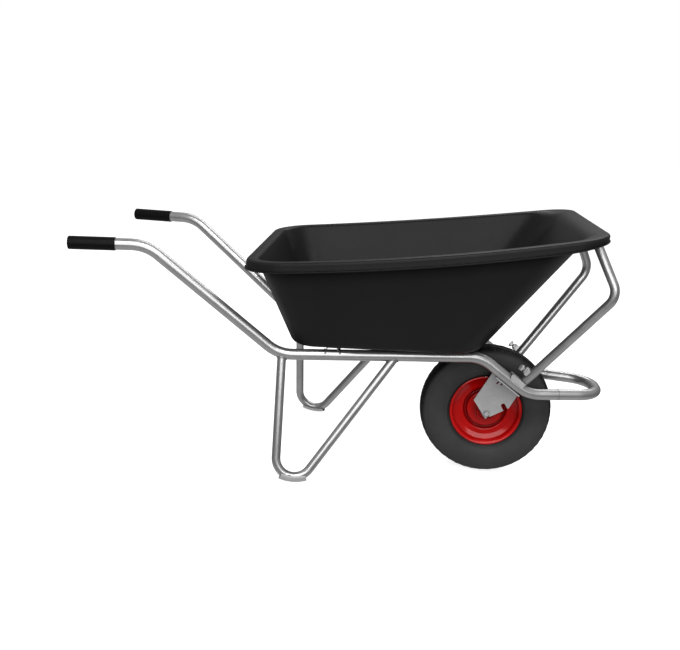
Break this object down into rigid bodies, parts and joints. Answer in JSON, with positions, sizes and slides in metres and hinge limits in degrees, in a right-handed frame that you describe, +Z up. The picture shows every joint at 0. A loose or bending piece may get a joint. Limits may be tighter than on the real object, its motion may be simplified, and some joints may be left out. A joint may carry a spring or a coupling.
{
  "type": "wheelbarrow",
  "caption": "Single-wheel builder's wheelbarrow: deep black plastic tray on a galvanised tube frame with V legs, front hoop and pneumatic wheel on a red steel rim.",
  "frame": {"origin": "on the ground, on the centre plane, midway between the rear ends of the grips and the front of the guard loop", "axes": "+X forward from the handles to the wheel, +Y to the left of the person pushing, +Z up"},
  "size_m": [1.5517, 0.7694, 0.8076],
  "materials": {
    "zinc_tube": "hot-dip galvanised tube, satin",
    "zinc_plate": "bright zinc-plated sheet and fasteners",
    "bearing_steel": "ground bearing steel",
    "tray_plastic": "black moulded polyethylene, soft sheen",
    "grip_plastic": "black smooth PVC",
    "rim_red": "gloss red enamel",
    "tyre_rubber": "dark grey tyre rubber",
    "tube_rubber": "butyl rubber",
    "brass_valve": "brass",
    "cap_plastic": "black plastic"
  },
  "bodies": {
    "frame_and_tray": {"axle": "zinc_plate", "axle_spacer_sleeve": "zinc_plate", "front_crossbar": "zinc_plate", "front_loop": "zinc_tube", "left_axle_bolt": "zinc_plate", "left_axle_end_sleeve": "zinc_plate", "left_axle_lock_washer": "zinc_plate", "left_axle_plate": "zinc_plate", "left_bearing_inner_race": "bearing_steel", "left_chassis_tube": "zinc_tube", "left_clamp_bolt": "zinc_plate", "left_clamp_boss": "zinc_plate", "left_clamp_lock_nut": "zinc_plate", "left_foot_shoe": "zinc_plate", "left_grip": "grip_plastic", "left_hoop_bracket": "zinc_plate", "left_hoop_peg": "zinc_plate", "left_leg": "zinc_tube", "rear_crossbar": "zinc_plate", "right_axle_bolt": "zinc_plate", "right_axle_end_sleeve": "zinc_plate", "right_axle_lock_washer": "zinc_plate", "right_axle_plate": "zinc_plate", "right_bearing_inner_race": "bearing_steel", "right_chassis_tube": "zinc_tube", "right_clamp_bolt": "zinc_plate", "right_clamp_boss": "zinc_plate", "right_clamp_lock_nut": "zinc_plate", "right_foot_shoe": "zinc_plate", "right_grip": "grip_plastic", "right_hoop_bracket": "zinc_plate", "right_hoop_peg": "zinc_plate", "right_leg": "zinc_tube", "rim_screws": "zinc_plate", "tray": "tray_plastic", "tray_bolt_nuts": "zinc_plate", "tray_bolt_washers": "zinc_plate", "tray_bolts": "zinc_plate", "tray_hoop": "zinc_tube"},
    "wheel": {"tyre": "tyre_rubber", "inner_tube": "tube_rubber", "left_rim_half": "rim_red", "right_rim_half": "rim_red", "hub_tube": "rim_red", "valve_stem": "brass_valve", "valve_cap": "cap_plastic", "left_bearing_outer_race": "bearing_steel", "right_bearing_outer_race": "bearing_steel", "left_bearing_cover": "rim_red", "right_bearing_cover": "rim_red"},
    "ball_sets": {"left_bearing_balls": "bearing_steel", "right_bearing_balls": "bearing_steel", "left_bearing_cage": "bearing_steel", "right_bearing_cage": "bearing_steel"}
  },
  "joints": [
    {"name": "wheel_spin", "type": "hinge", "parent": "frame_and_tray", "child": "wheel", "pos_m": [0.443, 0, 0.2], "axis": [0, 1, 0], "continuous": true},
    {"name": "ball_set_orbit", "type": "hinge", "parent": "frame_and_tray", "child": "ball_sets", "pos_m": [0.443, 0, 0.2], "axis": [0, 1, 0], "continuous": true}
  ],
  "couplings": [
    {"joint": "ball_set_orbit", "follows": "wheel_spin", "ratio": 0.6147}
  ]
}
